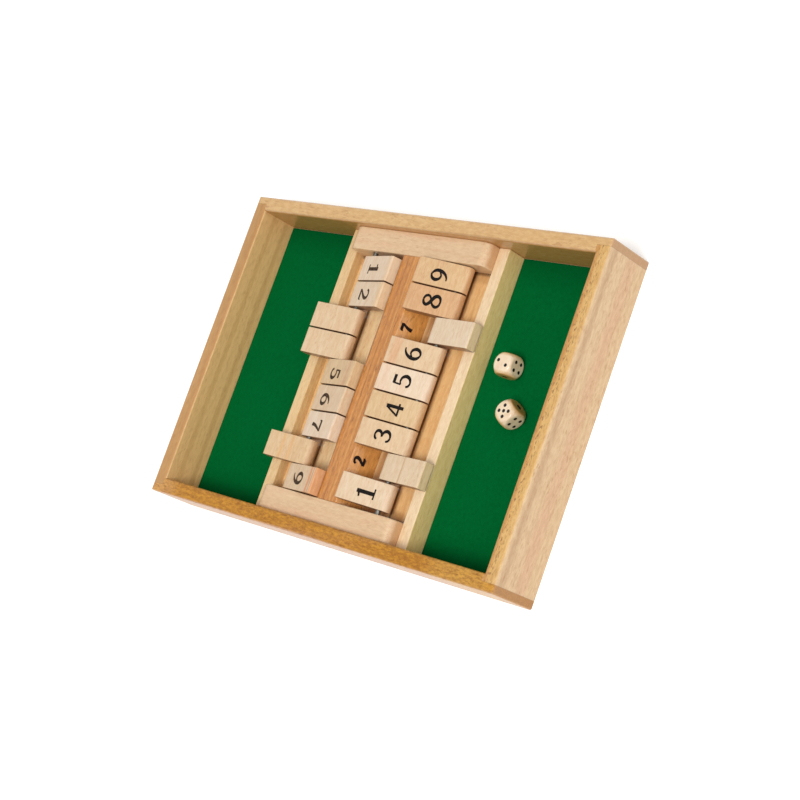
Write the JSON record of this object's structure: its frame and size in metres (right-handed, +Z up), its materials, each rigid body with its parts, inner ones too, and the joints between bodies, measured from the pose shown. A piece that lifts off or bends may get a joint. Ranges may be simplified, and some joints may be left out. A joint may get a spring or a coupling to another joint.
{
  "type": "shut the box game",
  "caption": "Shallow wooden tray game: numbered tiles in facing rows flip over on rods in a raised carrier, between felt-lined wells for rolling the dice.",
  "frame": {"origin": "on the table, under the middle of the tray", "axes": "+X across the two wells towards the one with the dice, +Y along the tile rows towards the far wall, +Z up"},
  "size_m": [0.29, 0.2, 0.035],
  "materials": {
    "tray_wood": "satin lacquered rubberwood, open pores, softly rounded rim",
    "panel_wood": "plain thin plywood, unlacquered underside",
    "felt": "short-napped green felt",
    "ridge_wood": "satin lacquered, warm orange-brown, streaked grain",
    "carrier_wood": "satin lacquered pale rubberwood",
    "rod_steel": "drawn steel wire",
    "tile_wood": "sanded pale rubberwood, printed black numbers",
    "dice_wood": "lacquered pale wood with black recessed pips"
  },
  "bodies": {
    "tray": {"wall_left": "tray_wood", "wall_right": "tray_wood", "wall_far": "tray_wood", "wall_near": "tray_wood", "bottom_panel": "panel_wood", "felt_left": "felt", "felt_right": "felt", "carrier_board": "ridge_wood", "ridge": "ridge_wood", "rail_left": "carrier_wood", "rail_right": "carrier_wood", "end_block_far": "carrier_wood", "end_block_near": "carrier_wood", "rod_left": "rod_steel", "rod_right": "rod_steel"},
    "left_tile_1": {"left_tile_1": "tile_wood"},
    "left_tile_2": {"left_tile_2": "tile_wood"},
    "left_tile_3": {"left_tile_3": "tile_wood"},
    "left_tile_4": {"left_tile_4": "tile_wood"},
    "left_tile_5": {"left_tile_5": "tile_wood"},
    "left_tile_6": {"left_tile_6": "tile_wood"},
    "left_tile_7": {"left_tile_7": "tile_wood"},
    "left_tile_8": {"left_tile_8": "tile_wood"},
    "left_tile_9": {"left_tile_9": "tile_wood"},
    "right_tile_1": {"right_tile_1": "tile_wood"},
    "right_tile_2": {"right_tile_2": "tile_wood"},
    "right_tile_3": {"right_tile_3": "tile_wood"},
    "right_tile_4": {"right_tile_4": "tile_wood"},
    "right_tile_5": {"right_tile_5": "tile_wood"},
    "right_tile_6": {"right_tile_6": "tile_wood"},
    "right_tile_7": {"right_tile_7": "tile_wood"},
    "right_tile_8": {"right_tile_8": "tile_wood"},
    "right_tile_9": {"right_tile_9": "tile_wood"},
    "die_1": {"die_1": "dice_wood"},
    "die_2": {"die_2": "dice_wood"}
  },
  "joints": [
    {"name": "left_tile_1_hinge", "type": "hinge", "parent": "tray", "child": "left_tile_1", "pos_m": [-0.0368, 0.06521, 0.0231], "axis": [0, -1, 0], "range_deg": [0, 158.9]},
    {"name": "left_tile_2_hinge", "type": "hinge", "parent": "tray", "child": "left_tile_2", "pos_m": [-0.0368, 0.04861, 0.0231], "axis": [0, -1, 0], "range_deg": [0, 158.9]},
    {"name": "left_tile_3_hinge", "type": "hinge", "parent": "tray", "child": "left_tile_3", "pos_m": [-0.0368, 0.03153, 0.0231], "axis": [0, -1, 0], "range_deg": [-158.9, 0]},
    {"name": "left_tile_4_hinge", "type": "hinge", "parent": "tray", "child": "left_tile_4", "pos_m": [-0.0368, 0.01493, 0.0231], "axis": [0, -1, 0], "range_deg": [-158.9, 0]},
    {"name": "left_tile_5_hinge", "type": "hinge", "parent": "tray", "child": "left_tile_5", "pos_m": [-0.0368, -0.00119, 0.0231], "axis": [0, -1, 0], "range_deg": [0, 158.9]},
    {"name": "left_tile_6_hinge", "type": "hinge", "parent": "tray", "child": "left_tile_6", "pos_m": [-0.0368, -0.01779, 0.0231], "axis": [0, -1, 0], "range_deg": [0, 158.9]},
    {"name": "left_tile_7_hinge", "type": "hinge", "parent": "tray", "child": "left_tile_7", "pos_m": [-0.0368, -0.03439, 0.0231], "axis": [0, -1, 0], "range_deg": [0, 158.9]},
    {"name": "left_tile_8_hinge", "type": "hinge", "parent": "tray", "child": "left_tile_8", "pos_m": [-0.0368, -0.05147, 0.0231], "axis": [0, -1, 0], "range_deg": [-158.9, 0]},
    {"name": "left_tile_9_hinge", "type": "hinge", "parent": "tray", "child": "left_tile_9", "pos_m": [-0.0368, -0.06759, 0.0231], "axis": [0, -1, 0], "range_deg": [0, 158.9]},
    {"name": "right_tile_1_hinge", "type": "hinge", "parent": "tray", "child": "right_tile_1", "pos_m": [0.0368, -0.06521, 0.0231], "axis": [0, 1, 0], "range_deg": [0, 158.9]},
    {"name": "right_tile_2_hinge", "type": "hinge", "parent": "tray", "child": "right_tile_2", "pos_m": [0.0368, -0.04813, 0.0231], "axis": [0, 1, 0], "range_deg": [-158.9, 0]},
    {"name": "right_tile_3_hinge", "type": "hinge", "parent": "tray", "child": "right_tile_3", "pos_m": [0.0368, -0.03201, 0.0231], "axis": [0, 1, 0], "range_deg": [0, 158.9]},
    {"name": "right_tile_4_hinge", "type": "hinge", "parent": "tray", "child": "right_tile_4", "pos_m": [0.0368, -0.01541, 0.0231], "axis": [0, 1, 0], "range_deg": [0, 158.9]},
    {"name": "right_tile_5_hinge", "type": "hinge", "parent": "tray", "child": "right_tile_5", "pos_m": [0.0368, 0.00119, 0.0231], "axis": [0, 1, 0], "range_deg": [0, 158.9]},
    {"name": "right_tile_6_hinge", "type": "hinge", "parent": "tray", "child": "right_tile_6", "pos_m": [0.0368, 0.01779, 0.0231], "axis": [0, 1, 0], "range_deg": [0, 158.9]},
    {"name": "right_tile_7_hinge", "type": "hinge", "parent": "tray", "child": "right_tile_7", "pos_m": [0.0368, 0.03487, 0.0231], "axis": [0, 1, 0], "range_deg": [-158.9, 0]},
    {"name": "right_tile_8_hinge", "type": "hinge", "parent": "tray", "child": "right_tile_8", "pos_m": [0.0368, 0.05099, 0.0231], "axis": [0, 1, 0], "range_deg": [0, 158.9]},
    {"name": "right_tile_9_hinge", "type": "hinge", "parent": "tray", "child": "right_tile_9", "pos_m": [0.0368, 0.06759, 0.0231], "axis": [0, 1, 0], "range_deg": [0, 158.9]},
    {"name": "die_1_lift", "type": "slide", "parent": "tray", "child": "die_1", "axis": [0, 0, 1], "range_m": [0, 0.06]},
    {"name": "die_2_lift", "type": "slide", "parent": "tray", "child": "die_2", "axis": [0, 0, 1], "range_m": [0, 0.06]}
  ]
}
